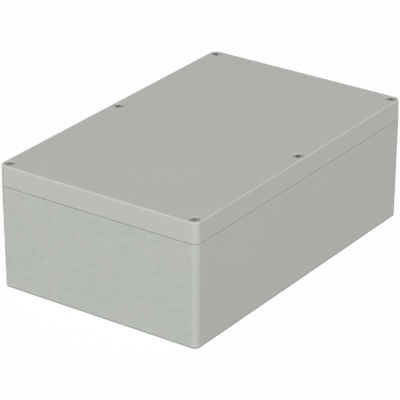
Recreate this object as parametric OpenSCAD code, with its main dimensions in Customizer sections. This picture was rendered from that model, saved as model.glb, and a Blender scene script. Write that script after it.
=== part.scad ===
// Moulded plastic enclosure: a deep base and a shallow lid, sealed by a gasket and held by captive screws.
// Millimetres. The origin is the centre of the underside, X runs along the length and Z is up.

/* [Box] */
// Length over the seam, where the box is widest
box_l = 250; // [200:1:320]
// Width over the seam
box_w = 160; // [130:1:240]
// Height of the base, from the underside to the seam
base_h = 74.5; // [50:0.5:120]
// Height of the lid, from the seam to the top
lid_h = 15.5; // [13:0.5:25]
// Radius of the upright outer corners at the seam
corner_r = 5; // [3.5:0.1:6]

/* [Moulding] */
// Thickness of the floor
floor_t = 3; // [2:0.1:5]
// Thickness of the lid's top
lid_t = 3; // [2:0.1:4]
// Draft of the base's sides, which lean in towards the underside
base_draft = 0.5; // [0:0.1:1]
// Draft of the lid's sides, which lean in towards the top
lid_draft = 1; // [0:0.1:2]
// Radius of the edge round the underside
foot_r = 0.7; // [0.3:0.1:2]
// Height of the fine gap at the seam: the lid rests on the screw posts and clears the base's rim
seam_gap = 0.25; // [0.1:0.05:0.6]
// Radius of the base's outer edge at the seam
rim_r = 0.3; // [0.2:0.1:0.9]
// Radius of the lid's outer edge at the seam
skirt_r = 0.7; // [0.1:0.1:0.8]
// Radius of the edge round the lid's top
brow_r = 1.2; // [0.3:0.1:1.4]

/* [Seal] */
// Width of the rim outside the sealing tongue
land_w = 1.3; // [1.1:0.1:1.8]
// Thickness of the tongue, which carries on the inner side of the walls
tongue_t = 1.9; // [1.2:0.1:2.6]
// Height of the tongue above the rim
tongue_h = 2; // [1:0.1:3]
// Clearance on each side of the tongue in the lid's groove
tongue_gap = 0.2; // [0.1:0.05:0.4]
// Height of the gasket between the tongue and the groove
gasket_h = 2; // [1:0.1:3]
// Clearance on each side of the gasket in the groove
gasket_gap = 0.05; // [0.02:0.01:0.1]
// Thickness of the lid's lip on the inner side of the groove
lip_t = 1.8; // [1:0.1:2.6]
// Radius of the seal's bends where it leaves a wall
bend_r = 5; // [3:0.1:6]
// Radius of the seal's bends round a screw post
nose_r = 1.5; // [0.6:0.1:2.5]
// Least wall between the seal and a screw hole or fixing hole
post_wall = 1.3; // [1:0.1:2.5]

/* [Lid screws] */
// Distance of each screw from the outer faces beside it
screw_in = 5.5; // [5.3:0.1:7]
// Outer diameter of the screw's thread
screw_d = 4; // [3.6:0.1:4.4]
// Length of thread held by the insert
thread_hold = 4.2; // [3:0.1:5]
// Chamfer at the screw's tip
tip_c = 0.6; // [0.2:0.1:1]
// Diameter of the head
head_d = 7; // [6:0.1:7.2]
// Height of the head
head_h = 2.6; // [2:0.1:3]
// Rounding of the head's upper edge
head_r = 0.4; // [0.1:0.1:0.8]
// Depth of the head below the lid's top
head_sunk = 0.5; // [0.3:0.1:2]
// Clearance round the head
head_gap = 0.2; // [0.1:0.05:0.25]
// Chamfer at the mouth of the screw hole
mouth_c = 0.25; // [0.1:0.05:0.3]
// Thickness of the lid's web under the head
web_t = 2; // [1:0.1:3]
// Clearance round the shank in the web
shank_gap = 0.3; // [0.2:0.05:0.5]
// Length of each arm of the cross recess, tip to tip
cross_l = 4.2; // [3:0.1:5]
// Width of the arms of the cross recess
cross_w = 1; // [0.6:0.1:1.4]
// Depth of the cross recess
cross_h = 1.6; // [0.8:0.1:1.8]

/* [Captive rings] */
// Outer diameter of the ring that keeps a screw in the lid
ring_d = 6.6; // [5.8:0.1:7]
// Thickness of the ring
ring_t = 1; // [0.6:0.1:1.4]
// Width of the ring's open side, through which it snaps onto the screw
ring_mouth = 2.7; // [2:0.1:3]
// Diameter of the screw's neck that the ring sits in
neck_d = 3.2; // [2.8:0.1:3.4]
// Running clearance of the neck in the ring
neck_gap = 0.05; // [0.02:0.01:0.1]
// Clearance round the ring in the lid's pocket
pocket_gap = 0.4; // [0.3:0.05:0.5]
// Height that a screw still rises once its thread has left the insert
release = 0.2; // [0.1:0.1:1]

/* [Threaded inserts] */
// Outer diameter of the insert
insert_d = 5.6; // [5:0.1:6]
// Length of the insert
insert_l = 6; // [5:0.1:10]
// Depth of the insert below the rim
insert_sunk = 0.2; // [0.1:0.1:0.6]
// Gap left round the insert where it is set into its post
insert_gap = 0.02; // [0.01:0.01:0.05]
// Running clearance of the screw's thread in the insert
thread_gap = 0.05; // [0.02:0.01:0.1]
// Depth of the core hole below the insert
core_l = 4; // [2:0.5:10]

/* [Wall fixing] */
// Distance of the fixing holes from the short outer faces
fix_in_x = 6; // [5.5:0.1:8]
// Distance of the fixing holes from the long outer faces
fix_in_y = 16.5; // [15:0.1:24]
// Diameter of the fixing holes through the floor
fix_d = 4.8; // [3.5:0.1:5.5]
// Diameter of the channel for the fixing screw's head
fix_head_d = 8.4; // [7.5:0.1:8.8]
// Height of the seat under the fixing screw's head
fix_seat = 6; // [3:0.1:10]

/* [Board fixing] */
// Distance of the board bosses from the short outer faces
board_in_x = 30; // [22:1:60]
// Distance of the board bosses from the long outer faces
board_in_y = 25; // [22:1:40]
// Diameter of the bosses
boss_d = 7; // [5:0.1:9]
// Height of the bosses above the floor
boss_h = 6; // [3:0.1:12]
// Diameter of the pilot holes in the bosses
pilot_d = 2.8; // [2:0.1:3.6]
// Distance between the card guides along a wall
guide_pitch = 40; // [25:1:60]
// Height of the card guides above the floor
guide_h = 52; // [20:1:60]
// Thickness of each rib of a card guide
guide_t = 1.5; // [1:0.1:2.5]
// Distance that the ribs stand out of the wall
guide_out = 2.5; // [1.5:0.1:4]
// Width of the slot between the two ribs of a guide
slot_w = 2; // [1.6:0.1:3.2]

/* [Hidden] */
screw_count = 6;

// Colours of the plastic, the gasket and the metal pieces
plastic = [0.70, 0.71, 0.68];
rubber = [0.13, 0.13, 0.14];
steel = [0.45, 0.45, 0.44];
brass = [0.78, 0.62, 0.32];
nylon = [0.88, 0.87, 0.82];

// Facets of a true circle, and steps of a rounded edge or bend
$fn = 64;
arc_steps = 6;
// Overshoot of a cut past the face that it opens
over = 1;

// Half sizes at the seam, the height of the closed box and that of the base's rim
half_l = box_l / 2;
half_w = box_w / 2;
top_z = base_h + lid_h;
rim_z = base_h - seam_gap;

// Heights above the underside: the head's seat, the web's lower face, the screw's tip and the insert's top
seat_z = top_z - head_sunk - head_h;
web_z = seat_z - web_t;
insert_z = base_h - insert_sunk;
tip_z = insert_z - thread_hold;
// Travel of a captive screw, which ends when its ring meets the web
screw_rise = thread_hold + release;
ring_z = web_z - screw_rise - ring_t;
groove_h = tongue_h + gasket_h;

// Radii of the holes in the lid and the base
head_hole_r = head_d / 2 + head_gap;
pocket_r = ring_d / 2 + pocket_gap;
shank_hole_r = screw_d / 2 + shank_gap;
thread_hole_r = screw_d / 2 + thread_gap;

// Reach of the unsealed areas round the screws, from the outer faces: corner areas also hold a fixing hole
screw_reach = max(head_hole_r, pocket_r) + post_wall;
fix_reach = fix_head_d / 2 + post_wall;
corner_x = max(screw_in + screw_reach, fix_in_x + fix_reach);
corner_y = max(screw_in + screw_reach, fix_in_y + fix_reach);
middle_y = screw_in + screw_reach;

// Insets of the seal's features, counted inwards from the outer side of the tongue
groove_out = -tongue_gap;
groove_in = tongue_t + tongue_gap;
lip_in = groove_in + lip_t;

// Screw centres: the corners and the middles of the long sides
screw_x = half_l - screw_in;
screw_y = half_w - screw_in;
screw_at = [
    [-screw_x, -screw_y],
    [0, -screw_y],
    [screw_x, -screw_y],
    [screw_x, screw_y],
    [0, screw_y],
    [-screw_x, screw_y]];
// Each driver recess is left at its own angle when the screw is tight
screw_turn = 37;

// Points of an arc of radius r that rounds the corner b between the points a and c
function unit(v) = v / norm(v);
function turn(a, b) = (b - a + 540) % 360 - 180;
function bend(a, b, c, r) =
    let (
        u = unit(a - b),
        v = unit(c - b),
        half = acos(u * v) / 2,
        centre = b + unit(u + v) * r / sin(half),
        from = b + u * r / tan(half) - centre,
        to = b + v * r / tan(half) - centre,
        start = atan2(from.y, from.x),
        sweep = turn(start, atan2(to.y, to.x)))
    r <= 0 ? [b] : [
        for (k = [0 : arc_steps])
            let (angle = start + sweep * k / arc_steps)
            centre + r * [cos(angle), sin(angle)]];

// Outline through corner points, each given as [point, radius]
function rounded(corners) =
    let (n = len(corners))
    [for (k = [0 : n - 1]) each bend(
        corners[(k + n - 1) % n][0],
        corners[k][0],
        corners[(k + 1) % n][0],
        corners[k][1])];

// Outline of the box at the seam, at an inset from the outer faces
function box_line(inset) =
    let (x = half_l - inset, y = half_w - inset, r = corner_r - inset)
    rounded([[[x, y], r], [[-x, y], r], [[-x, -y], r], [[x, -y], r]]);

// One quarter of the seal's line at an inset: along a wall, round the corner area and into the middle area
function seal_quarter(inset) =
    let (
        wall = land_w + inset,
        outer_bend = max(bend_r - inset, rim_r),
        inner_bend = nose_r + inset,
        middle = screw_reach + inset)
    [
        [[half_l - wall, half_w - corner_y - inset], outer_bend],
        [[half_l - corner_x - inset, half_w - corner_y - inset], inner_bend],
        [[half_l - corner_x - inset, half_w - wall], outer_bend],
        [[middle, half_w - wall], outer_bend],
        [[middle, half_w - middle_y - inset], inner_bend]];

// A list in reverse, and a list of corners mirrored by the signs of sx and sy
function flipped(list) = [for (k = [len(list) - 1 : -1 : 0]) list[k]];
function mirrored(list, sx, sy) = [for (c = list) [[c[0].x * sx, c[0].y * sy], c[1]]];

// The seal's closed line at an inset
function seal_line(inset) =
    let (quarter = seal_quarter(inset))
    rounded(concat(
        quarter,
        flipped(mirrored(quarter, -1, 1)),
        mirrored(quarter, -1, -1),
        flipped(mirrored(quarter, 1, -1))));

// Section of an outer edge from a corner's axis outwards, leaning from low_out to high_out
module edge_section(h, low_out, high_out, low_r, high_r) {
    polygon(rounded([
        [[0, 0], 0],
        [[corner_r + low_out, 0], low_r],
        [[corner_r + high_out, h], high_r],
        [[0, h], 0]]));
}

// Solid block with rounded upright corners, whose sides follow the edge section in children()
module drafted_block(h) {
    run_l = half_l - corner_r;
    run_w = half_w - corner_r;
    translate([-run_l, -run_w, 0]) cube([2 * run_l, 2 * run_w, h]);
    for (side = [0, 180]) {
        rotate(side) {
            translate([run_l, run_w, 0]) rotate([90, 0, 0]) linear_extrude(2 * run_w) children();
            translate([-run_l, run_w, 0]) rotate([90, 0, 90]) linear_extrude(2 * run_l) children();
            translate([run_l, run_w, 0]) rotate_extrude(angle = 90) children();
            translate([-run_l, run_w, 0]) rotate(90) rotate_extrude(angle = 90) children();
        }
    }
}

// Prism of the seal's line at an inset, between two heights
module seal_prism(inset, low, high) {
    translate([0, 0, low]) linear_extrude(high - low) polygon(seal_line(inset));
}

// Band between two insets of the seal's line
module seal_band(outer, inner, low, high) {
    difference() {
        seal_prism(outer, low, high);
        seal_prism(inner, low - over, high + over);
    }
}

// Copies of children() at the four fixing places or board bosses, given the distance from the outer faces
module at_corners(in_x, in_y) {
    for (x = [-1, 1], y = [-1, 1]) translate([x * (half_l - in_x), y * (half_w - in_y), 0]) children();
}

module drill(r, low, high) {
    translate([0, 0, low]) cylinder(r = r, h = high - low);
}

// Two ribs that hold the edge of a board: they stand on the floor, with their backs half way into the wall's
// inner side, which starts at x = 0
module card_guide() {
    back = tongue_t / 2;
    for (side = [-1, 1]) {
        translate([-tongue_t - guide_out, side * (slot_w + guide_t) / 2 - guide_t / 2, floor_t - over])
            cube([guide_out + back, guide_t, guide_h + over]);
    }
}

// Card guides along the walls, as many as fit between the screw areas
module card_guides() {
    half_guide = slot_w / 2 + guide_t + bend_r;
    end_count = floor((half_w - corner_y - tongue_t - half_guide) / guide_pitch);
    side_count = floor((half_l - corner_x - tongue_t - half_guide) / guide_pitch);
    for (side = [0, 180]) {
        rotate(side) {
            for (k = [-end_count : 1 : end_count]) translate([half_l - land_w, k * guide_pitch, 0]) card_guide();
            for (k = [-side_count : 1 : side_count]) {
                if (k != 0) translate([k * guide_pitch, half_w - land_w, 0]) rotate(90) card_guide();
            }
        }
    }
}

module base() {
    color(plastic) difference() {
        union() {
            difference() {
                union() {
                    drafted_block(rim_z)
                        edge_section(rim_z, -rim_z * tan(base_draft), 0, foot_r, rim_r);
                    translate([0, 0, rim_z - over]) linear_extrude(seam_gap + over) polygon(box_line(land_w));
                    seal_prism(0, floor_t, base_h + tongue_h);
                }
                seal_prism(tongue_t, floor_t, base_h + tongue_h + over);
            }
            card_guides();
            at_corners(board_in_x, board_in_y) drill(boss_d / 2, floor_t - over, floor_t + boss_h);
        }
        at_corners(board_in_x, board_in_y) drill(pilot_d / 2, floor_t, floor_t + boss_h + over);
        at_corners(fix_in_x, fix_in_y) drill(fix_d / 2, -over, fix_seat + over);
        at_corners(fix_in_x, fix_in_y) drill(fix_head_d / 2, fix_seat, base_h + over);
        for (at = screw_at) translate(at) {
            drill(insert_d / 2 + insert_gap, insert_z - insert_l, base_h + over);
            drill(thread_hole_r, insert_z - insert_l - core_l, insert_z);
        }
    }
}

module lid() {
    color(plastic) difference() {
        translate([0, 0, base_h]) drafted_block(lid_h)
            edge_section(lid_h, 0, -lid_h * tan(lid_draft), skirt_r, brow_r);
        seal_prism(lip_in, base_h - over, top_z - lid_t);
        seal_band(groove_out, groove_in, base_h - over, base_h + groove_h);
        for (at = screw_at) translate(at) {
            drill(pocket_r, base_h - over, web_z);
            drill(shank_hole_r, web_z - over, seat_z + over);
            drill(head_hole_r, seat_z, top_z + over);
            translate([0, 0, top_z - mouth_c])
                cylinder(r1 = head_hole_r, r2 = head_hole_r + mouth_c + over, h = mouth_c + over);
        }
    }
}

module gasket() {
    color(rubber) seal_band(
        groove_out + gasket_gap,
        groove_in - gasket_gap,
        base_h + tongue_h,
        base_h + groove_h);
}

// Cheese-head screw with a cross recess, a neck for its ring and a plain shank the size of its thread
module screw(k) {
    shank_r = screw_d / 2;
    neck_low = ring_z - neck_gap;
    neck_high = ring_z + ring_t + neck_gap;
    head_z = seat_z + head_h;
    color(steel) translate(screw_at[k - 1]) rotate(k * screw_turn) difference() {
        rotate_extrude() polygon(rounded([
            [[0, tip_z], 0],
            [[shank_r - tip_c, tip_z], 0],
            [[shank_r, tip_z + tip_c], 0],
            [[shank_r, neck_low], 0],
            [[neck_d / 2, neck_low], 0],
            [[neck_d / 2, neck_high], 0],
            [[shank_r, neck_high], 0],
            [[shank_r, seat_z], 0],
            [[head_d / 2, seat_z], 0],
            [[head_d / 2, head_z], head_r],
            [[0, head_z], 0]]));
        for (arm = [0, 90]) rotate(arm) translate([-cross_l / 2, -cross_w / 2, head_z - cross_h])
            cube([cross_l, cross_w, cross_h + over]);
    }
}

// Snap ring round the screw's neck, which meets the web when the screw has been backed out
module ring(k) {
    color(nylon) translate(screw_at[k - 1]) difference() {
        drill(ring_d / 2, ring_z, ring_z + ring_t);
        drill(neck_d / 2 + neck_gap, ring_z - over, ring_z + ring_t + over);
        translate([0, -ring_mouth / 2, ring_z - over]) cube([ring_d, ring_mouth, ring_t + 2 * over]);
    }
}

// Threaded bush set into the top of a screw post
module insert(k) {
    color(brass) translate(screw_at[k - 1]) difference() {
        drill(insert_d / 2, insert_z - insert_l, insert_z);
        drill(thread_hole_r, insert_z - insert_l - over, insert_z + over);
    }
}

base();
lid();
gasket();
for (k = [1 : screw_count]) {
    screw(k);
    ring(k);
    insert(k);
}
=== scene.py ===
# %% [markdown]
# # A sealed plastic enclosure
# The object is a light grey moulded box: a deep base, a shallow lid, and six captive screws sunk
# in the lid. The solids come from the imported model, which is loaded first and never moved.
# Blender gives them soft edges, finishes, real screw threads and the light of a small studio.

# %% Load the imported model
import math

import bmesh
import bpy
from mathutils import Matrix, Vector


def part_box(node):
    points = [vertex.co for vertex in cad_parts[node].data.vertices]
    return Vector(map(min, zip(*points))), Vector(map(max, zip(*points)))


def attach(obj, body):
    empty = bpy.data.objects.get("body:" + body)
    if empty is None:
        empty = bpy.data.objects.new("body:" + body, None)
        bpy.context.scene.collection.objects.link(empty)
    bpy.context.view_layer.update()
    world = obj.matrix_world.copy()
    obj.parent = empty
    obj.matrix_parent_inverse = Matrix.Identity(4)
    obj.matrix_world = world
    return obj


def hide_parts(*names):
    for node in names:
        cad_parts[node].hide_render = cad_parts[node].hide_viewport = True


# Blender works in metres
MM = 0.001

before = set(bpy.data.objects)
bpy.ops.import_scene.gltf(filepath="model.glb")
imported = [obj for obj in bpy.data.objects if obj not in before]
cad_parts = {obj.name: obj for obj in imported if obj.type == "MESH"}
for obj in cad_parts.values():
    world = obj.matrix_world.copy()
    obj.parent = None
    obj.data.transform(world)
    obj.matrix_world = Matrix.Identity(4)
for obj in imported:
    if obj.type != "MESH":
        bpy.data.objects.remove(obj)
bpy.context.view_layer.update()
scene = bpy.context.scene

# %% [markdown]
# ## The camera
# The picture was taken with a long lens from above one corner. Its level edges meet at two
# vanishing points, and those give the lens, the height and the direction. A camera can be placed
# by hand in the viewport, but a camera that is worked out from angles can be checked against the
# picture's edges.

# %% Camera at the picture's angle
PICTURE_PX = 400
FOCAL_PX = 2409.7
SENSOR_MM = 36.0
VIEW_AZIMUTH = math.radians(-54.97)
VIEW_ELEVATION = math.radians(25.09)
VIEW_DISTANCE = 1.6583
VIEW_AIM = Vector((-4.7, 1.85, 38.7)) * MM


def towards(azimuth, elevation):
    """Direction from the object: azimuth 0 is the front, at -Y, and turns towards +X."""
    level = math.cos(elevation)
    return Vector((math.sin(azimuth) * level, -math.cos(azimuth) * level, math.sin(elevation)))


camera = bpy.data.objects.new("camera", bpy.data.cameras.new("camera"))
scene.collection.objects.link(camera)
camera.data.sensor_width = SENSOR_MM
camera.data.lens = FOCAL_PX * SENSOR_MM / PICTURE_PX
camera.location = VIEW_AIM + towards(VIEW_AZIMUTH, VIEW_ELEVATION) * VIEW_DISTANCE
camera.rotation_mode = "QUATERNION"
camera.rotation_quaternion = (VIEW_AIM - camera.location).to_track_quat("-Z", "Y")
scene.camera = camera
scene.view_settings.view_transform = "Standard"
print("lens in mm:", round(camera.data.lens, 1))

# %% [markdown]
# ## The surroundings
# The box stands in even light with white all round it. The world could hold a photograph of a
# studio, but a plain colour is enough here. The camera, gloss and glass see it as white, and
# every other ray gets only a little light from it, so that the lamps shape the box. Nodes are
# added by small functions, because a tree that is written as sums and steps is easier to read
# than a list of links.

# %% World
AMBIENT = 0.2


def add_node(tree, kind, wires=None, **settings):
    """Adds a node with its settings. Wires give its inputs a value or another node's output."""
    made = tree.nodes.new(kind)
    for name, value in settings.items():
        setattr(made, name, value)
    for name, source in (wires or {}).items():
        if isinstance(source, bpy.types.NodeSocket):
            tree.links.new(source, made.inputs[name])
        else:
            made.inputs[name].default_value = source
    return made


def math_of(tree, operation, *values):
    """Result of a Math node on values or outputs."""
    return add_node(tree, "ShaderNodeMath", dict(enumerate(values)), operation=operation).outputs[0]


def seen_rays(tree):
    """A mask that is 1 for the rays that see a background: camera, gloss and glass."""
    rays = add_node(tree, "ShaderNodeLightPath").outputs
    mask = math_of(tree, "MAXIMUM", rays["Is Camera Ray"], rays["Is Glossy Ray"])
    return math_of(tree, "MAXIMUM", mask, rays["Is Transmission Ray"])


world = bpy.data.worlds.new("studio")
world.use_nodes = True
scene.world = world
sky = world.node_tree
seen = seen_rays(sky)
strength = add_node(sky, "ShaderNodeMapRange", {"Value": seen, "To Min": AMBIENT, "To Max": 1.0})
sky.links.new(strength.outputs["Result"], sky.nodes["Background"].inputs["Strength"])
sky.nodes["Background"].inputs["Color"].default_value = (1, 1, 1, 1)
print("ambient light:", AMBIENT)

# %% [markdown]
# ## The floor
# The ground is a white sheet with no visible end. A bright lamp could make it white, but that
# would burn out the box. So the sheet mixes a matt white, which keeps a soft shadow, with a plain
# white that only the camera, gloss and glass see. To other rays it is darker and throws little
# light back, because in the picture the walls get no brighter towards the ground.

# %% Floor
FLOOR_SIZE = 8.0
FLOOR_BOUNCE = 0.3
FLOOR_PLAIN = 0.95

sweep = bpy.data.materials.new("white_sweep")
sweep.use_nodes = True
ground = sweep.node_tree
ground.nodes.remove(ground.nodes["Principled BSDF"])
seen = seen_rays(ground)
tone = add_node(
    ground, "ShaderNodeMapRange", {"Value": seen, "To Min": FLOOR_BOUNCE, "To Max": 1.0})
matt = add_node(ground, "ShaderNodeBsdfDiffuse", {"Color": tone.outputs["Result"]})
plain = add_node(ground, "ShaderNodeEmission", {"Strength": 1.0})
share = math_of(ground, "MULTIPLY", seen, FLOOR_PLAIN)
blend = add_node(ground, "ShaderNodeMixShader", {0: share, 1: matt.outputs[0], 2: plain.outputs[0]})
ground.links.new(blend.outputs[0], ground.nodes["Material Output"].inputs["Surface"])

bm = bmesh.new()
bmesh.ops.create_grid(bm, x_segments=1, y_segments=1, size=FLOOR_SIZE / 2)
floor = bpy.data.objects.new("floor", bpy.data.meshes.new("floor"))
bm.to_mesh(floor.data)
bm.free()
floor.data.materials.append(sweep)
scene.collection.objects.link(floor)
print("floor:", FLOOR_SIZE, "m square")

# %% [markdown]
# ## The lamps
# A soft key lamp near the camera keeps the shadow behind the box, and a side lamp on the left
# draws the light line along the lid's near edge. Two weaker lamps light the far end and the back.
# They stand low, because a higher lamp there would shine off the lid's top into the camera. Sun
# lamps would be simpler, but softboxes a few metres away give each face a slow fall-off.

# %% Lamps
LAMP_DISTANCE = 8.0


def add_lamp(name, azimuth, elevation, level, width):
    """A round softbox in a direction in degrees. Level is how much of its light arrives."""
    lamp = bpy.data.objects.new(name, bpy.data.lights.new(name, "AREA"))
    lamp.data.shape = "DISK"
    lamp.data.size = width
    lamp.data.energy = level * math.pi * LAMP_DISTANCE ** 2
    lamp.visible_camera = False
    scene.collection.objects.link(lamp)
    source = towards(math.radians(azimuth), math.radians(elevation))
    lamp.location = source * LAMP_DISTANCE
    lamp.rotation_mode = "QUATERNION"
    lamp.rotation_quaternion = source.to_track_quat("Z", "Y")
    print("lamp:", name, "at", azimuth, "degrees, power", round(lamp.data.energy), "W")


add_lamp("key", azimuth=-47, elevation=31.5, level=3.2, width=3.5)
add_lamp("side", azimuth=-120, elevation=24, level=0.61, width=4.3)
add_lamp("end", azimuth=86, elevation=4, level=1.6, width=3.0)
add_lamp("rear", azimuth=190, elevation=4, level=1.28, width=3.0)

# %% [markdown]
# ## Copies with soft edges
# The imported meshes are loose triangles, which is right for checking but not for light: every edge
# is razor sharp. Real moulded and pressed pieces have slightly rounded edges that catch the
# light. A welded copy is made of each solid, its flat faces are joined, and its sharp edges get a
# small bevel. A Bevel modifier could do the same, but bmesh can pick edges by their angle on the
# welded copy and shows what changed.

# %% Weld, soften and place pieces
WELD = 0.002 * MM
FLAT = math.radians(0.5)
SHARP = math.radians(30)
CREASE = math.radians(50)
SOFT_SEGMENTS = 2
ROUND_PROFILE = 0.5


def soften(bm, edges, radius, segments=SOFT_SEGMENTS):
    """Rounds edges by a bevel."""
    bmesh.ops.bevel(bm, geom=edges, offset=radius, offset_type="OFFSET", segments=segments,
                    profile=ROUND_PROFILE, affect="EDGES", material=-1, clamp_overlap=False)


def soft_copy(node, radius):
    """Welded copy of a node with its flats joined and its sharp edges rounded."""
    bm = bmesh.new()
    bm.from_mesh(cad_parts[node].data)
    bmesh.ops.remove_doubles(bm, verts=bm.verts, dist=WELD)
    bmesh.ops.dissolve_limit(bm, angle_limit=FLAT, verts=bm.verts, edges=bm.edges)
    soften(bm, [edge for edge in bm.edges if edge.calc_face_angle(0) > SHARP], radius)
    return bm


def finish_piece(name, bm, body, node, finish):
    """Turns a bmesh into a smooth piece that stands for a node and rides on its body."""
    mesh = bpy.data.meshes.new(name)
    bm.to_mesh(mesh)
    bm.free()
    mesh.materials.clear()
    mesh.materials.append(finish)
    mesh.shade_smooth()
    mesh.set_sharp_from_angle(angle=CREASE)
    piece = bpy.data.objects.new(name, mesh)
    scene.collection.objects.link(piece)
    piece.modifiers.new("even_normals", "WEIGHTED_NORMAL").keep_sharp = True
    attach(piece, body)
    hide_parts(node)
    print("piece:", name, "faces:", len(mesh.polygons))


print("edges over", round(math.degrees(SHARP)), "degrees get a bevel of", SOFT_SEGMENTS, "segments")

# %% [markdown]
# ## Moulded grain
# Every moulded piece came out of a spark-eroded steel tool, which leaves a fine matt grain, and
# every piece varies a little in tone. Both could be painted as pictures, but noise on the
# object's own coordinates has no seams and keeps its real scale on any piece. The effect is built
# once as a node group, and each material places it with its own grain size.

# %% Group for moulded grain and tone
CLOUDS_PER_METRE = 14.0
# Nearly all values of a noise texture lie between these
NOISE_LOW = 0.3
NOISE_HIGH = 0.7


def new_group(name, inputs, outputs):
    """An empty node group. Gives the group, its inputs to read and its outputs to fill."""
    group = bpy.data.node_groups.new(name, "ShaderNodeTree")
    for way, sockets in (("INPUT", inputs), ("OUTPUT", outputs)):
        for label, kind in sockets.items():
            group.interface.new_socket(label, in_out=way, socket_type=f"NodeSocket{kind}")
    into = group.nodes.new("NodeGroupInput")
    out = group.nodes.new("NodeGroupOutput")
    return group, into.outputs, out.inputs


def noise(tree, place, per_metre):
    """Value of a noise texture, about 0.5 on average."""
    wires = {"Vector": place, "Scale": per_metre}
    return add_node(tree, "ShaderNodeTexNoise", wires).outputs["Fac"]


def spread(tree, value, low, high, to_low, to_high):
    """A value moved from one range to another and held inside it."""
    wires = {"Value": value, "From Min": low, "From Max": high, "To Min": to_low, "To Max": to_high}
    return add_node(tree, "ShaderNodeMapRange", wires).outputs["Result"]


def tone_around(tree, value, reach):
    """A tone that follows a noise value, up to a reach above and below 1."""
    darker = math_of(tree, "SUBTRACT", 1.0, reach)
    lighter = math_of(tree, "ADD", 1.0, reach)
    return spread(tree, value, NOISE_LOW, NOISE_HIGH, darker, lighter)


moulded, given, made = new_group(
    "moulded_grain",
    {"Place": "Vector", "Grains per metre": "Float", "Tone spread": "Float"},
    {"Height": "Float", "Tone": "Float"})
grain = noise(moulded, given["Place"], given["Grains per metre"])
clouds = noise(moulded, given["Place"], CLOUDS_PER_METRE)
moulded.links.new(grain, made["Height"])
moulded.links.new(tone_around(moulded, clouds, given["Tone spread"]), made["Tone"])
print("group:", moulded.name, "with", len(moulded.nodes), "nodes")

# %% [markdown]
# ## Marks of the ejector pins
# Steel pins push a warm moulding off the tool, and each leaves a round witness mark on the inner
# face. The marks could be cut into the mesh, but they are under a tenth of a millimetre deep, so
# a relief in the finish is enough. The group repeats one circle on a square pitch and keeps it to
# one level, and both mouldings use it.

# %% Group for pin marks
PIN_PITCH = 45 * MM
PIN_RADIUS = 3 * MM
PIN_EDGE = 0.25 * MM
CELL_MIDDLE = (0.5, 0.5, 0.5)


def vector_of(tree, operation, *values):
    """The node of a Vector Math operation on vectors or outputs."""
    return add_node(tree, "ShaderNodeVectorMath", dict(enumerate(values)), operation=operation)


def part_of(tree, axis, place):
    """One coordinate of a place."""
    return add_node(tree, "ShaderNodeSeparateXYZ", {0: place}).outputs[axis]


pins, given, made = new_group("pin_marks", {"Place": "Vector", "Level": "Float"}, {"Ring": "Float"})
cell = vector_of(pins, "DIVIDE", given["Place"], (PIN_PITCH, PIN_PITCH, PIN_PITCH)).outputs[0]
cell = vector_of(pins, "FRACTION", cell).outputs[0]
cell = vector_of(pins, "SUBTRACT", cell, CELL_MIDDLE).outputs[0]
cell = vector_of(pins, "MULTIPLY", cell, (PIN_PITCH, PIN_PITCH, 0)).outputs[0]
from_pin = vector_of(pins, "LENGTH", cell).outputs["Value"]
from_edge = math_of(pins, "ABSOLUTE", math_of(pins, "SUBTRACT", from_pin, PIN_RADIUS))
from_level = math_of(pins, "SUBTRACT", part_of(pins, "Z", given["Place"]), given["Level"])
on_level = math_of(pins, "LESS_THAN", math_of(pins, "ABSOLUTE", from_level), PIN_EDGE)
on_edge = spread(pins, from_edge, 0, PIN_EDGE, 1, 0)
pins.links.new(math_of(pins, "MULTIPLY", on_edge, on_level), made["Ring"])
print("group:", pins.name, "with", len(pins.nodes), "nodes")

# %% [markdown]
# ## The plastic of the lid
# The lid is matt grey plastic with a touch of green, even all over. A plain colour would look
# like paint, so its tone drifts a little, its gloss follows the grain, and the grain is also a
# fine relief. One function makes every moulded material of the box: a tint and a second relief
# can be handed to it.

# %% Moulded finish
PLASTIC = (0.455, 0.461, 0.433)
LID_TOP_WALL = 3 * MM
PIN_DEPTH = 0.08 * MM


def new_finish(name, specular=0.5, metallic=0.0):
    """A material with uniform values set. Gives it, its node tree and its shader's inputs."""
    finish = bpy.data.materials.new(name)
    finish.use_nodes = True
    shader = finish.node_tree.nodes["Principled BSDF"].inputs
    shader["Specular IOR Level"].default_value = specular
    shader["Metallic"].default_value = metallic
    return finish, finish.node_tree, shader


def place_group(tree, group, *values):
    """Places a node group with a value or output for each input, and gives its outputs."""
    return add_node(tree, "ShaderNodeGroup", dict(enumerate(values)), node_tree=group).outputs


def toned(tree, colour, tone):
    """A colour, scaled by a tone near 1."""
    wires = {0: colour, "Scale": tone}
    return add_node(tree, "ShaderNodeVectorMath", wires, operation="SCALE").outputs[0]


def bumped(tree, height, depth, normal=None):
    """Normal of a surface with a relief of that depth, on top of another relief if given."""
    wires = {"Height": height, "Distance": depth}
    if normal:
        wires["Normal"] = normal
    return add_node(tree, "ShaderNodeBump", wires).outputs["Normal"]


def moulded_finish(name, colour, grains, depth, tone, matt, specular, tint=None, relief=None):
    """A moulded material. Tint may change its colour by place, relief may go under its grain."""
    finish, tree, shader = new_finish(name, specular)
    place = add_node(tree, "ShaderNodeTexCoord").outputs["Object"]
    grain = place_group(tree, moulded, place, grains, tone)
    shade = toned(tree, colour, grain["Tone"])
    under = relief(tree, place) if relief else None
    tree.links.new(tint(tree, place, shade) if tint else shade, shader["Base Color"])
    tree.links.new(spread(tree, grain["Height"], NOISE_LOW, NOISE_HIGH, *matt), shader["Roughness"])
    tree.links.new(bumped(tree, grain["Height"], depth, under), shader["Normal"])
    print("finish:", name)
    return finish


def pins_at(level):
    """Gives a function that makes the relief of the pin marks on the inner face at a height."""
    def relief(tree, place):
        ring = place_group(tree, pins, place, level)["Ring"]
        return bumped(tree, ring, PIN_DEPTH)
    return relief


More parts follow.
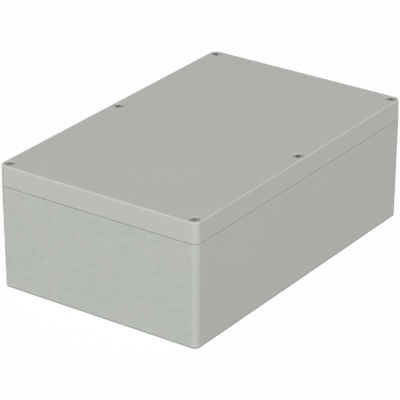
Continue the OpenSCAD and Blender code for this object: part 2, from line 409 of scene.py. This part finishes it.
grey = dict(
    colour=PLASTIC, grains=6000.0, depth=0.006 * MM, tone=0.006, matt=(0.46, 0.58), specular=0.33)
lid_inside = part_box("lid")[1].z - LID_TOP_WALL
lid_plastic = moulded_finish("lid_plastic", relief=pins_at(lid_inside), **grey)

# %% [markdown]
# ## The plastic of the base
# The long walls look as even as the lid, but the short end walls show faint level streaks and
# greenish patches, as where plastic flowed away from the gate. The foot has a dark line of
# painted shade, where the box meets the floor and a contact shadow falls. The marks could be
# painted on vertices, but the walls have too few of them, so both follow the place on the box: the
# streaks lie near the ends of its length, and the painted shade lies at its lowest edge.

# %% Streaks, patches and painted foot shade
# Depths behind the end of the box where the streaks begin and where they are full
END_SKIN = (3.3 * MM, 2.3 * MM)
STREAKS_PER_METRE = 380.0
STREAK_STRETCH = (1.0, 0.4, 1.0)
STREAK_DEPTH = 0.038
PATCHES_PER_METRE = 60.0
PATCH_EDGE = (0.4, 0.6)
# Changes of red, green and blue between patches, and inside one on top of those
PLAIN_TINT = (-0.02, -0.012, -0.02)
GREEN_STEP = (-0.055, 0.008, 0.005)
NO_TINT = (1.0, 1.0, 1.0)
# Heights where the painted shade line at the foot begins to fade and where it ends
FOOT_SHADE_HEIGHTS = (0.6 * MM, 1.3 * MM)
# How dark the painted shade is at the very foot
FOOT_SHADE_TONE = 0.5
BASE_FLOOR = 3 * MM

wall_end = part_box("base")[1].x


def end_streaks(tree, place, colour):
    """The colour with faint level streaks and greenish patches on the end walls of the base."""
    along = vector_of(tree, "MULTIPLY", place, STREAK_STRETCH).outputs[0]
    streak = noise(tree, along, STREAKS_PER_METRE)
    streak = spread(tree, streak, NOISE_LOW, NOISE_HIGH, -STREAK_DEPTH, STREAK_DEPTH)
    patch = spread(tree, noise(tree, place, PATCHES_PER_METRE), *PATCH_EDGE, 0, 1)
    change = vector_of(tree, "MULTIPLY_ADD", patch, GREEN_STEP, PLAIN_TINT).outputs[0]
    change = vector_of(tree, "ADD", change, streak).outputs[0]
    out = math_of(tree, "ABSOLUTE", part_of(tree, "X", place))
    on_end = spread(tree, out, wall_end - END_SKIN[0], wall_end - END_SKIN[1], 0, 1)
    tint = vector_of(tree, "MULTIPLY_ADD", on_end, change, NO_TINT).outputs[0]
    return vector_of(tree, "MULTIPLY", colour, tint).outputs[0]


def base_tint_and_foot_shade(tree, place, colour):
    """The colour with the streaks and patches of the ends, and a line of painted shade round the
    foot.
    """
    # Painted shade: the colour darkens towards the lowest edge, where a contact shadow falls
    foot_shade = spread(tree, part_of(tree, "Z", place), *FOOT_SHADE_HEIGHTS, FOOT_SHADE_TONE, 1)
    return toned(tree, end_streaks(tree, place, colour), foot_shade)


base_plastic = moulded_finish("base_plastic", tint=base_tint_and_foot_shade, relief=pins_at(BASE_FLOOR), **grey)
print("end walls at", round(wall_end / MM, 1), "mm from the middle")

# %% [markdown]
# ## The base and the lid
# Each is one moulding with all its posts, ribs, tongue and groove, so each stays one piece. The
# outer corners and the brow of the lid are already round in the solid. The bevel here only takes
# the razor edge off the ribs, holes and rims, and it is kept under a tenth of a millimetre,
# because next to the screw holes there is no room for more.

# %% Base and lid
SOFT_MOULDING = 0.08 * MM

base = soft_copy("base", SOFT_MOULDING)
finish_piece("base_moulding", base, "base", "base", base_plastic)
lid = soft_copy("lid", SOFT_MOULDING)
finish_piece("lid_moulding", lid, "lid", "lid", lid_plastic)

# %% [markdown]
# ## The gasket
# A black sponge strip lies in the lid's groove and is pressed by the tongue of the base. It is
# cut from closed-cell rubber, so its skin has coarse pores and no gloss. A strip could be swept
# along a curve, but the solid already has its path, so a copy with rounder edges than the
# plastic's is enough to tell the eye that it is soft.

# %% Gasket strip
SOFT_RUBBER = 0.3 * MM
RUBBER = (0.024, 0.024, 0.026)

rubber = moulded_finish(
    "sealing_rubber",
    colour=RUBBER, grains=2500.0, depth=0.03 * MM, tone=0.15, matt=(0.7, 0.9), specular=0.3)
gasket = soft_copy("gasket", SOFT_RUBBER)
finish_piece("gasket_strip", gasket, "lid", "gasket", rubber)

# %% [markdown]
# ## The snap rings
# A small nylon ring snaps onto the neck of each screw, so an undone screw stays in the lid. Each
# ring is a moulded C with its open side towards one end of the box. It could be spun and cut, but
# the solid has that form already, so it gets rounder edges only. Natural nylon is a warm,
# slightly glossy white.

# %% Snap rings
SCREWS = 6
SOFT_RING = 0.12 * MM
NYLON = (0.76, 0.74, 0.66)

nylon = moulded_finish(
    "natural_nylon",
    colour=NYLON, grains=9000.0, depth=0.004 * MM, tone=0.02, matt=(0.35, 0.5), specular=0.5)
for k in range(1, SCREWS + 1):
    ring = soft_copy(f"ring_{k}", SOFT_RING)
    finish_piece(f"snap_ring_{k}", ring, f"ring_{k}", f"ring_{k}", nylon)

# %% [markdown]
# ## Turned metal
# The screws and the threaded inserts come off a lathe, which leaves fine rings on flat ends and
# fine bands round the sides. Wave textures on the piece's own place give both: each point's place
# is kept in an attribute before a piece is moved to its seat, so all six copies look alike and
# the marks are always centred.

# %% Group for lathe marks
MARK_SPACING = 0.12 * MM
# Length in which a wave texture of scale 1 repeats
WAVE_PERIOD = 2 * math.pi / 20
MARK_WAVER = 0.6
BLOTCHES_PER_METRE = 900.0

lathe, given, made = new_group(
    "lathe_marks",
    {"Place": "Vector", "Tone spread": "Float"},
    {"Height": "Float", "Tone": "Float"})
wave = {"Vector": given["Place"], "Scale": WAVE_PERIOD / MARK_SPACING, "Distortion": MARK_WAVER}
rings = add_node(lathe, "ShaderNodeTexWave", wave, wave_type="RINGS", rings_direction="Z")
bands = add_node(lathe, "ShaderNodeTexWave", wave, wave_type="BANDS", bands_direction="Z")
both = math_of(lathe, "ADD", rings.outputs["Fac"], bands.outputs["Fac"])
blotch = noise(lathe, given["Place"], BLOTCHES_PER_METRE)
lathe.links.new(math_of(lathe, "DIVIDE", both, 2.0), made["Height"])
lathe.links.new(tone_around(lathe, blotch, given["Tone spread"]), made["Tone"])
print("group:", lathe.name, "with", len(lathe.nodes), "nodes")

# %% [markdown]
# ## Steel and brass
# The screws are dulled steel and the inserts are bright brass. Both share the group of lathe
# marks, and differ in colour and polish. Ready-made metal shaders could be used, but the marks
# would not follow the axis of each piece.

# %% Turned finish
MARK_DEPTH = 0.004 * MM
STEEL = (0.285, 0.287, 0.262)
BRASS = (0.66, 0.47, 0.2)


def turned_finish(name, colour, tone, polish):
    """A turned metal: polish is the range of its roughness."""
    finish, tree, shader = new_finish(name, metallic=1.0)
    place = add_node(tree, "ShaderNodeAttribute", attribute_name="own_place").outputs["Vector"]
    marks = place_group(tree, lathe, place, tone)
    tree.links.new(toned(tree, colour, marks["Tone"]), shader["Base Color"])
    tree.links.new(spread(tree, marks["Height"], 0, 1, *polish), shader["Roughness"])
    tree.links.new(bumped(tree, marks["Height"], MARK_DEPTH), shader["Normal"])
    print("finish:", name)
    return finish


steel = turned_finish("turned_steel", colour=STEEL, tone=0.12, polish=(0.32, 0.42))
brass = turned_finish("turned_brass", colour=BRASS, tone=0.1, polish=(0.26, 0.4))

# %% [markdown]
# ## The thread of the screws
# Each lid screw has a cheese head with a cross recess, a plain shoulder, a neck for its ring and
# a threaded end. The solid has a plain shank the size of the thread, which is enough for
# checking. A thread could be drawn as a bump, but it would vanish on the outline, so here it is
# real: its section is spun round the axis and raised by one pitch in each turn, then cut off
# level at both ends.

# %% Thread sweep
PITCH = 0.7 * MM
THREAD_STEPS = 32
# Points of the section: how far out from root to crest, and how far up one pitch
THREAD_FORM = ((0, 0), (0, 0.25), (1, 0.5625), (1, 0.6875), (0, 1))
THREAD_ROOT = 1.64 * MM
SHANK_RADIUS = 2 * MM
TIP_RADIUS = 1.4 * MM
NECK_PLAY = 0.05 * MM
# Turns beyond the thread's length, so that both ends are cut through whole turns
SPARE_TURNS = 2
# Points this near to a cut count as lying on it
CUT = 0.00002 * MM


def spin_profile(bm, profile, steps, turns=1, rise=0.0):
    """Spins a profile of radii and heights round the axis, raised by so much in each turn."""
    verts = [bm.verts.new((radius, 0, height)) for radius, height in profile]
    edges = [bm.edges.new(pair) for pair in zip(verts, verts[1:])]
    bmesh.ops.spin(
        bm, geom=verts + edges, cent=(0, 0, 0), axis=(0, 0, 1), dvec=(0, 0, rise / steps),
        angle=2 * math.pi * turns, steps=steps * turns, use_merge=not rise, use_duplicate=False)


def thread_skin(bm, root, crest, low, high):
    """Skin of a right-handed thread, cut off level at two heights."""
    turns = math.ceil((high - low) / PITCH) + SPARE_TURNS
    profile = [(root + (crest - root) * out, low + PITCH * (up - 1)) for out, up in THREAD_FORM]
    spin_profile(bm, profile, THREAD_STEPS, turns, PITCH)
    bmesh.ops.remove_doubles(bm, verts=bm.verts, dist=WELD)
    for level, below in ((low, True), (high, False)):
        whole = bm.verts[:] + bm.edges[:] + bm.faces[:]
        bmesh.ops.bisect_plane(
            bm, geom=whole, dist=CUT, plane_co=(0, 0, level), plane_no=(0, 0, 1),
            clear_inner=below, clear_outer=not below)


def open_edges(bm, level):
    """Edges of the open ends at a height."""
    at_level = [e for e in bm.edges if all(abs(v.co.z - level) < WELD for v in e.verts)]
    return [e for e in at_level if e.is_boundary]


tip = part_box("screw_1")[0].z
neck_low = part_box("ring_1")[0].z - NECK_PLAY
screw = bmesh.new()
thread_skin(screw, THREAD_ROOT, SHANK_RADIUS, tip, neck_low)
for vert in screw.verts:
    limit = TIP_RADIUS + vert.co.z - tip
    vert.co.xy *= min(1, limit / vert.co.xy.length)
bmesh.ops.contextual_create(screw, geom=open_edges(screw, tip))
print("thread of", round((neck_low - tip) / MM, 2), "mm with", len(screw.faces), "faces")

# %% [markdown]
# ## The neck and the head
# Above the thread, the screw is a plain turned form, so half of its outline is spun once round
# the axis. It could be stacked from cylinders, but their joints would leave hidden faces. The
# neck is as long as the ring is thick, with a little play, and takes its place from the ring's
# own box. The open lower rim is then bridged to the last turn of the thread.

# %% Neck, shoulder and head
SCREW_STEPS = 48
NECK_RADIUS = 1.6 * MM
HEAD_RADIUS = 3.5 * MM
HEAD_HEIGHT = 2.6 * MM
RECESS_RIM = 2.6 * MM

head_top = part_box("screw_1")[1].z
seat = head_top - HEAD_HEIGHT
neck_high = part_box("ring_1")[1].z + NECK_PLAY
outline = [
    (NECK_RADIUS, neck_low),
    (NECK_RADIUS, neck_high),
    (SHANK_RADIUS, neck_high),
    (SHANK_RADIUS, seat),
    (HEAD_RADIUS, seat),
    (HEAD_RADIUS, head_top),
    (RECESS_RIM, head_top)]
spin_profile(screw, outline, SCREW_STEPS)
bmesh.ops.bridge_loops(screw, edges=open_edges(screw, neck_low))
print("screw faces without its recess:", len(screw.faces))

# %% [markdown]
# ## The cross recess
# The driver's cross is pressed into the head. It could be cut with a Boolean, but the head's top
# is still open, so the cross is drawn there, the flat between it and the rim is filled, and it is
# pulled down with a slight taper. Bridging would fold faces over the corners of the cross, while
# a fill takes any outline. A wide taper would mirror the key lamp and burn out.

# %% Cross recess
CROSS_REACH = 2.1 * MM
CROSS_HALF = 0.55 * MM
CROSS_DEPTH = 1.6 * MM
CROSS_TAPER = 0.95
ARMS = 4

arm = [
    Vector((CROSS_REACH, -CROSS_HALF, head_top)),
    Vector((CROSS_REACH, CROSS_HALF, head_top)),
    Vector((CROSS_HALF, CROSS_HALF, head_top))]
turns = [Matrix.Rotation(2 * math.pi * k / ARMS, 4, "Z") for k in range(ARMS)]
verts = [screw.verts.new(turn @ point) for turn in turns for point in arm]
mouth = [screw.edges.new(pair) for pair in zip(verts, verts[1:] + verts[:1])]
rim = open_edges(screw, head_top)
bmesh.ops.triangle_fill(screw, edges=rim + mouth, normal=(0, 0, 1), use_beauty=True)
walls = bmesh.ops.extrude_edge_only(screw, edges=mouth)["geom"]
lower = [item for item in walls if isinstance(item, bmesh.types.BMVert)]
bmesh.ops.scale(screw, vec=(CROSS_TAPER, CROSS_TAPER, 1), verts=lower)
bmesh.ops.translate(screw, vec=(0, 0, -CROSS_DEPTH), verts=lower)
bmesh.ops.contextual_create(screw, geom=open_edges(screw, head_top - CROSS_DEPTH))
bmesh.ops.recalc_face_normals(screw, faces=screw.faces)
print("open edges left:", sum(not edge.is_manifold for edge in screw.edges))

# %% [markdown]
# ## Six screws
# The rim of a cheese head is rounded on the lathe, and every other edge only loses its burr. The
# six screws are copies of one mesh, each left at its own angle, as a hand with a driver leaves
# them. Linked copies would save memory, but each piece must keep its place in its own mesh.

# %% Soft edges of the head, and copies
HEAD_ROUND = 0.4 * MM
HEAD_ROUND_SEGMENTS = 4
SOFT_STEEL = 0.06 * MM
SCREW_TURN = math.radians(37)


def set_copies(bm, piece, node, bodies, finish, turn=0.0):
    """Sets copies on the axes of the six screws. Their points keep their first place."""
    layer = bm.verts.layers.float_vector.new("own_place")
    for vert in bm.verts:
        vert[layer] = vert.co
    for k in range(1, SCREWS + 1):
        low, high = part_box(f"ring_{k}")
        axis = Vector(((low.x + high.x) / 2, (low.y + high.y) / 2, 0))
        move = Matrix.Translation(axis) @ Matrix.Rotation(turn * k, 4, "Z")
        copy = bm.copy()
        bmesh.ops.transform(copy, verts=copy.verts, matrix=move)
        finish_piece(f"{piece}_{k}", copy, bodies.format(k), f"{node}_{k}", finish)
    bm.free()


top = [e for e in screw.edges if all(v.co.z > head_top - WELD for v in e.verts)]
rim = [e for e in top if all(v.co.xy.length > RECESS_RIM + WELD for v in e.verts)]
soften(screw, rim, HEAD_ROUND, HEAD_ROUND_SEGMENTS)
above = [e for e in screw.edges if all(v.co.z > neck_low + WELD for v in e.verts)]
soften(screw, [e for e in above if e.calc_face_angle(0) > SHARP], SOFT_STEEL)
set_copies(screw, "lid_screw", "screw", "screw_{}", steel, SCREW_TURN)

# %% [markdown]
# ## The threaded inserts
# A brass bush is pressed hot into the top of each screw post, and the plastic flows into its
# knurl and grips it. The knurl could be a relief in the finish, but it is coarse enough to show
# on the outline. The outside is spun like the screw's head, and in the two knurled bands every
# second column of points is pulled in. The thread in the bore is the same sweep as the screw's
# with its crest inwards, and a chamfer joins the two.

# %% Inserts
KNURLS = 30
KNURL_DEPTH = 0.15 * MM
INSERT_RADIUS = 2.8 * MM
GROOVE_RADIUS = 2.5 * MM
LEAD_RADIUS = 2.4 * MM
LEAD = 0.3 * MM
BORE_CREST = 2.05 * MM
BORE_ROOT = 2.3 * MM
PILOT = 0.6 * MM
GROOVE_LOW = 2.6 * MM
GROOVE_HIGH = 3.4 * MM

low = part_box("insert_1")[0].z
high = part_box("insert_1")[1].z
insert = bmesh.new()
thread_skin(insert, BORE_ROOT, BORE_CREST, low + LEAD, high - LEAD)
outline = [
    (LEAD_RADIUS, low),
    (GROOVE_RADIUS, low),
    (GROOVE_RADIUS, low + PILOT),
    (INSERT_RADIUS, low + PILOT),
    (INSERT_RADIUS, low + GROOVE_LOW),
    (GROOVE_RADIUS, low + GROOVE_LOW),
    (GROOVE_RADIUS, low + GROOVE_HIGH),
    (INSERT_RADIUS, low + GROOVE_HIGH),
    (INSERT_RADIUS, high),
    (LEAD_RADIUS, high)]
spin_profile(insert, outline, 2 * KNURLS)
for vert in insert.verts:
    column = round(math.atan2(vert.co.y, vert.co.x) * KNURLS / math.pi)
    if column % 2 and vert.co.xy.length > INSERT_RADIUS - WELD:
        vert.co.xy *= 1 - KNURL_DEPTH / INSERT_RADIUS
for end, lead in ((low, low + LEAD), (high, high - LEAD)):
    bmesh.ops.bridge_loops(insert, edges=open_edges(insert, end) + open_edges(insert, lead))
bmesh.ops.recalc_face_normals(insert, faces=insert.faces)
print("open edges left:", sum(not edge.is_manifold for edge in insert.edges))
print("brass in one insert in cubic mm:", round(insert.calc_volume() / MM ** 3, 1))
set_copies(insert, "thread_insert", "insert", "base", brass)
